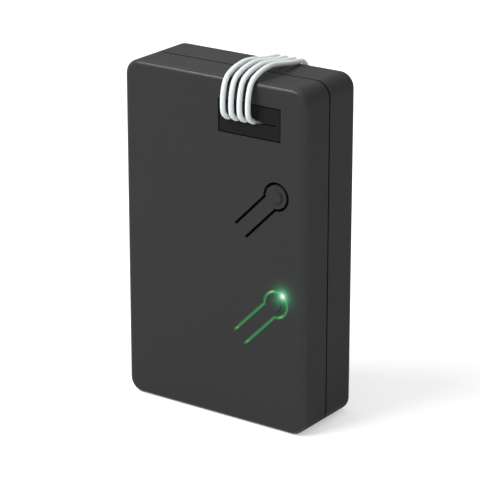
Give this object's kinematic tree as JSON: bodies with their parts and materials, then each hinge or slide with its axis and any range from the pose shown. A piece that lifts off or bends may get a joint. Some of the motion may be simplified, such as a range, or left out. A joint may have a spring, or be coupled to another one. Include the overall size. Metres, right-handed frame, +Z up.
{
  "type": "garage door controller",
  "caption": "Upright moulded control box for a garage door opener, with flexing keyhole buttons, a lit slot, a rubber wire entry and flying leads over the top.",
  "frame": {"origin": "under the middle of the housing's base, half way between its front and back faces", "axes": "+X to the right seen from the front, +Y from the front face to the back, +Z up along the height"},
  "size_m": [0.056, 0.0275, 0.0952],
  "materials": {
    "housing_plastic": "charcoal moulded plastic with a fine matte grain",
    "grommet_rubber": "smooth black rubber",
    "guide_plastic": "clear light guide lit green",
    "lead_insulation": "white soft insulation with a satin surface",
    "tinned_copper": "tinned stranded copper",
    "board_laminate": "green lacquered laminate",
    "terminal_plastic": "black moulded terminal",
    "switch_plastic": "black moulded switch",
    "plunger_plastic": "ivory moulded plunger",
    "led_lens": "green lamp lens",
    "relay_case": "amber relay case",
    "component_black": "black moulded component",
    "capacitor_sleeve": "dark blue shrunk sleeve",
    "radio_laminate": "blue lacquered laminate",
    "shield_steel": "tinned shield can",
    "screw_steel": "zinc plated screw"
  },
  "bodies": {
    "housing": {"front_cover": "housing_plastic", "rear_cover": "housing_plastic", "light_guide": "guide_plastic", "wire_grommet": "grommet_rubber", "main_board": "board_laminate", "terminal_block": "terminal_plastic", "terminal_clamps": "tinned_copper", "upper_switch": "switch_plastic", "lower_switch": "switch_plastic", "status_led": "led_lens", "opener_relay": "relay_case", "lamp_relay": "relay_case", "fuse": "component_black", "rectifier": "component_black", "reservoir_capacitor": "capacitor_sleeve", "regulator": "component_black", "microcontroller": "component_black", "radio_board": "radio_laminate", "radio_shield": "shield_steel", "cover_screws": "screw_steel", "lead_tails": "lead_insulation", "lead_ends": "tinned_copper", "lead_1": "lead_insulation", "lead_2": "lead_insulation", "lead_3": "lead_insulation", "lead_4": "lead_insulation"},
    "upper_button": {"upper_button": "housing_plastic"},
    "lower_button": {"lower_button": "housing_plastic"},
    "upper_plunger": {"upper_plunger": "plunger_plastic"},
    "lower_plunger": {"lower_plunger": "plunger_plastic"}
  },
  "joints": [
    {"name": "upper_button_flex", "type": "hinge", "parent": "housing", "child": "upper_button", "pos_m": [0.00843, -0.00995, 0.05263], "axis": [-0.7071, 0, 0.7071], "range_deg": [0, 1.3], "stiffness_Nm_per_rad": 1.2},
    {"name": "lower_button_flex", "type": "hinge", "parent": "housing", "child": "lower_button", "pos_m": [0.00843, -0.00995, 0.02393], "axis": [-0.7071, 0, 0.7071], "range_deg": [0, 1.3], "stiffness_Nm_per_rad": 1.2},
    {"name": "upper_plunger_slide", "type": "slide", "parent": "housing", "child": "upper_plunger", "axis": [0, 1, 0], "range_m": [0, 0.00034]},
    {"name": "lower_plunger_slide", "type": "slide", "parent": "housing", "child": "lower_plunger", "axis": [0, 1, 0], "range_m": [0, 0.00034]}
  ],
  "couplings": [
    {"joint": "upper_plunger_slide", "follows": "upper_button_flex", "m_per_rad": 0.0147},
    {"joint": "lower_plunger_slide", "follows": "lower_button_flex", "m_per_rad": 0.0147}
  ]
}
